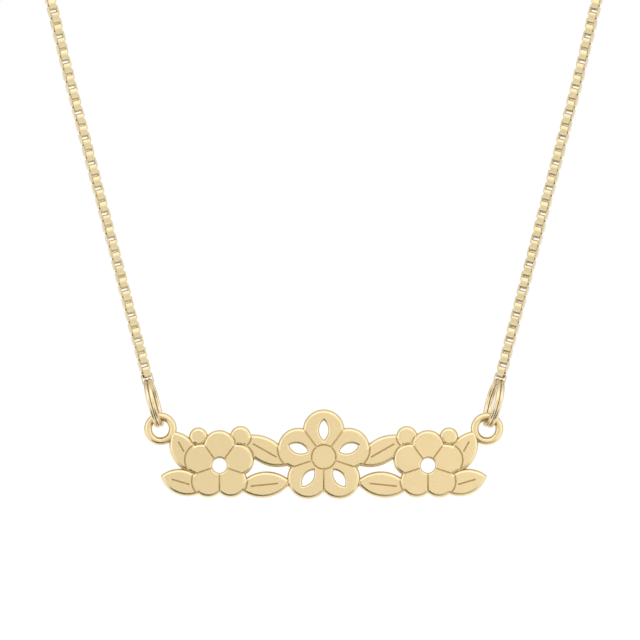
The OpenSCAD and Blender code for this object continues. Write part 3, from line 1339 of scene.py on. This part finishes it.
@dataclass
class Clasp:
    """The spring ring clasp and the ring that it closes on.

    Attributes:
        loop: Where they lie, and their rings.
        knob_angle: Place of the thumb knob round the ring, from the top.
        knob_d: Thickness of the knob.
        knob_l: Length of the knob.
        knob_round: How far from the knob's edges their rounding starts.
        knob_sides: Sides of the knob.
    """

    loop: Loop
    knob_angle: float = math.radians(45)
    knob_d: float = 0.8
    knob_l: float = 0.8
    knob_round: float = 0.12
    knob_sides: int = 32

    def knob(self) -> bpy.types.Object:
        """Builds the thumb knob, its foot sunk into the clasp's ring.

        Returns:
            The knob.
        """
        ring, r = self.loop.clasp_ring, self.knob_d / 2
        length = self.knob_l + self.loop.sink
        bm = bmesh.new()
        bmesh.ops.create_cone(
            bm, cap_ends=True, segments=self.knob_sides, radius1=r, radius2=r, depth=length
        )
        round_rims(bm, self.knob_round, segments=4)
        out = ring.radius + ring.wire / 2 - self.loop.sink + length / 2
        place = (
            Matrix.Translation((self.loop.clasp_x, 0, 0))
            @ Matrix.Rotation(self.knob_angle, 4, "Y")
            @ Matrix.Translation((0, 0, out))
        )
        move(bm, place)
        return to_object(bm, "knob")

    def flat_ring(self, ring: WireRing, x: float, name: str) -> bpy.types.Object:
        """Builds a ring that lies flat beside the clasp.

        Args:
            ring: The ring.
            x: Its place, from the clasp's centre.
            name: The object's name.

        Returns:
            The ring.
        """
        bm = ring.mesh()
        lay = Matrix.Translation((self.loop.clasp_x + x, 0, 0)) @ Matrix.Rotation(QUARTER, 4, "X")
        move(bm, lay)
        return to_object(bm, name)

    def build(self, material: bpy.types.Material) -> None:
        """Builds and dresses the clasp and its catch ring.

        Args:
            material: Their gold.
        """
        bm = self.loop.clasp_ring.mesh()
        bmesh.ops.translate(bm, vec=(self.loop.clasp_x, 0, 0), verts=bm.verts)
        clasp = to_object(bm, "spring_ring_clasp")
        eye = self.flat_ring(self.loop.eye, self.loop.eye_x, "eye")
        boolean(clasp, [eye, self.knob()], "UNION")
        dress(clasp, material, "loop", ["clasp"])
        catch = self.flat_ring(self.loop.catch_ring, self.loop.catch_x, "catch_ring_wire")
        dress(catch, material, "loop", ["catch_ring"])


# The studio


@dataclass(frozen=True)
class CardFinish:
    """Grey card in even light, which fades from left to right.

    Attributes:
        name: The material's name.
        left: Its brightness at the left end of the fade, where white is 1.
        right: Its brightness at the right end.
        span: Where the fade starts and ends along X, in millimetres.
        tint: Colour of the light on it.
    """

    name: str
    left: float
    right: float
    span: Pair
    tint: str = "fff8ea"

    def build(self) -> bpy.types.Material:
        """Builds the material.

        Returns:
            The material, which glows by itself.
        """
        material, tree = new_material(self.name)
        place = add_node(tree, "TexCoord").outputs["Object"]
        across = add_node(tree, "SeparateXYZ", {"Vector": place}).outputs["X"]
        fade = add_node(
            tree, "MapRange",
            {"Value": across, "From Min": self.span[0] * MM, "From Max": self.span[1] * MM,
             "To Min": self.left, "To Max": self.right},
        )
        glow = add_node(
            tree, "Emission", {"Color": linear(self.tint), "Strength": fade.outputs["Result"]}
        )
        add_node(tree, "OutputMaterial", {"Surface": glow.outputs["Emission"]})
        return material


def set_for_gloss(card: bpy.types.Object, finish: CardFinish) -> None:
    """Makes a card one that only the gold's reflections see.

    Args:
        card: The card.
        finish: Its finish.
    """
    card.data.materials.append(finish.build())
    card.visible_camera = False
    card.visible_diffuse = False
    card.visible_shadow = False


@dataclass(frozen=True)
class Card:
    """A flat card that the gold mirrors.

    Attributes:
        name: Its name.
        size: Its width and height.
        at: Its middle.
        aim: The point that it faces.
        finish: Its finish.
    """

    name: str
    size: Pair
    at: Triple
    aim: Triple
    finish: CardFinish

    def build(self) -> None:
        """Builds the card."""
        bm = bmesh.new()
        bmesh.ops.create_grid(bm, x_segments=1, y_segments=1, size=0.5)
        bmesh.ops.scale(bm, vec=(*self.size, 1), verts=bm.verts)
        facing = (Vector(self.aim) - Vector(self.at)).to_track_quat("Z", "Y")
        move(bm, Matrix.Translation(self.at) @ facing.to_matrix().to_4x4())
        set_for_gloss(to_object(bm, self.name), self.finish)


@dataclass(frozen=True)
class Band:
    """A band of card round the line of sight, open towards the camera and behind.

    Attributes:
        name: Its name.
        radius: Its radius.
        front: Place along Y of its front rim.
        back: Place along Y of its back rim.
        finish: Its finish.
        steps: Its sides.
    """

    name: str
    radius: float
    front: float
    back: float
    finish: CardFinish
    steps: int = 48

    def build(self, centre: Triple) -> None:
        """Builds the band.

        Args:
            centre: A point of the line of sight.
        """
        bm = spun([(self.radius, self.front), (self.radius, self.back)], self.steps)
        bmesh.ops.translate(bm, vec=(centre[0], 0, centre[2]), verts=bm.verts)
        set_for_gloss(to_object(bm, self.name), self.finish)


@dataclass(frozen=True)
class SoftBox:
    """A wide soft light.

    Attributes:
        name: Its name.
        size: Its width and height.
        at: Its middle.
        power: Its power in watts.
    """

    name: str
    size: Pair
    at: Triple
    power: float

    def build(self, aim: Triple) -> None:
        """Adds the light.

        Args:
            aim: The point that it faces.
        """
        light = bpy.data.lights.new(self.name, "AREA")
        light.shape = "RECTANGLE"
        light.size, light.size_y = self.size[0] * MM, self.size[1] * MM
        light.energy = self.power
        lamp = bpy.data.objects.new(self.name, light)
        lamp.location = Vector(self.at) * MM
        lamp.rotation_mode = "QUATERNION"
        lamp.rotation_quaternion = (Vector(aim) - Vector(self.at)).to_track_quat("-Z", "Y")
        bpy.context.scene.collection.objects.link(lamp)


# Under the front of the plate: the dark line along its lower edges
LOW_CARD = Card(
    "low_card", size=(120, 122), at=(0, -174, -158), aim=(0, -174, 0),
    finish=CardFinish("black_card", 0.1, 0.6, (-22, 25)),
)
# Behind the object on all sides: the calm tone of the rounded edges
SIDE_BAND = Band(
    "side_band", radius=500, front=5, back=498, finish=CardFinish("grey_card", 0.6, 0.78, (-400, 400))
)
# Behind the camera: the tone of the plate's face, brighter to the right
BACK_CARD = Card(
    "back_card", size=(340, 500), at=(0, -700, -100), aim=(0, -98, -100),
    finish=CardFinish("white_card", 0.74, 1.3, (-90, 90)),
)
SOFT_BOXES = (
    SoftBox("left_box", (260, 320), (-420, -330, -60), 0.15),
    SoftBox("right_box", (300, 420), (420, -290, -60), 0.2),
    SoftBox("top_box", (600, 300), (0, -330, 160), 0.3),
)


@dataclass
class Studio:
    """A white paper floor with soft light from both sides, and cards that shape the gold.

    Attributes:
        lens: The camera's focal length.
        sensor: Width of its sensor.
        view_width: Width that it sees at the plate.
        centre: The point in the middle of its view.
        clip: Nearest and farthest distance that it sees, in metres.
        floor_z: Height of the floor.
        floor_half: Half the floor's width.
        paper_colour: Colour of the floor's paper.
        paper_glow: How much the paper glows, as if lit from below.
    """

    lens: float = 300.0
    sensor: float = 36.0
    view_width: float = 68.8
    centre: Triple = (-0.4, -98.0, -92.3)
    clip: Pair = (0.01, 50.0)
    floor_z: float = -160.0
    floor_half: float = 6000.0
    paper_colour: str = "f4f4f2"
    paper_glow: float = 0.14

    def paper(self) -> bpy.types.Material:
        """Builds the floor's matt white paper.

        Returns:
            The material.
        """
        material, tree = new_material("white_paper_sweep")
        white = linear(self.paper_colour)
        paint = add_node(
            tree, "BsdfPrincipled",
            {"Base Color": white, "Roughness": 0.9, "Specular IOR Level": 0.0,
             "Emission Color": white, "Emission Strength": self.paper_glow},
        )
        add_node(tree, "OutputMaterial", {"Surface": paint.outputs["BSDF"]})
        return material

    def sky(self) -> bpy.types.World:
        """Builds the even white light all round.

        Returns:
            The world.
        """
        world = bpy.data.worlds.new("studio")
        world.use_nodes = True
        tree = world.node_tree
        tree.nodes.clear()
        back = add_node(tree, "Background", {"Color": (1, 1, 1, 1), "Strength": 1.0})
        add_node(tree, "OutputWorld", {"Surface": back.outputs["Background"]})
        return world

    def floor(self) -> None:
        """Builds the floor."""
        bm = bmesh.new()
        bmesh.ops.create_grid(bm, x_segments=1, y_segments=1, size=self.floor_half)
        bmesh.ops.translate(bm, vec=(0, 0, self.floor_z), verts=bm.verts)
        floor = to_object(bm, "floor")
        floor.data.materials.append(self.paper())

    def camera(self) -> bpy.types.Object:
        """Builds the camera, level and straight in front of the plate.

        Returns:
            The camera.
        """
        lens = bpy.data.cameras.new("camera")
        lens.lens = self.lens
        lens.sensor_width = self.sensor
        lens.clip_start, lens.clip_end = self.clip
        camera = bpy.data.objects.new("camera", lens)
        distance = self.view_width * self.lens / self.sensor
        camera.location = (Vector(self.centre) - Vector((0, distance, 0))) * MM
        camera.rotation_euler = (QUARTER, 0, 0)
        bpy.context.scene.collection.objects.link(camera)
        return camera

    def build(self) -> None:
        """Builds the floor, the light and the camera."""
        scene = bpy.context.scene
        scene.world = self.sky()
        self.floor()
        LOW_CARD.build()
        SIDE_BAND.build(self.centre)
        BACK_CARD.build()
        for box in SOFT_BOXES:
            box.build(self.centre)
        scene.camera = self.camera()
        scene.view_settings.view_transform = "Standard"


def main() -> None:
    """Builds the necklace piece by piece, then the studio."""
    logging.basicConfig(level=logging.INFO, format="%(name)s: %(message)s")
    loop = Loop()
    plate_gold = PLATE_FINISH.build()
    wire_gold = WIRE_FINISH.build()
    strip_gold = STRIP_FINISH.build()
    Plate(loop).build(plate_gold)
    Rings(loop).build(wire_gold, strip_gold)
    BoxChain(loop).build(strip_gold)
    Clasp(loop).build(wire_gold)
    Studio().build()
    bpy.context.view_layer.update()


if __name__ == "__main__":
    main()
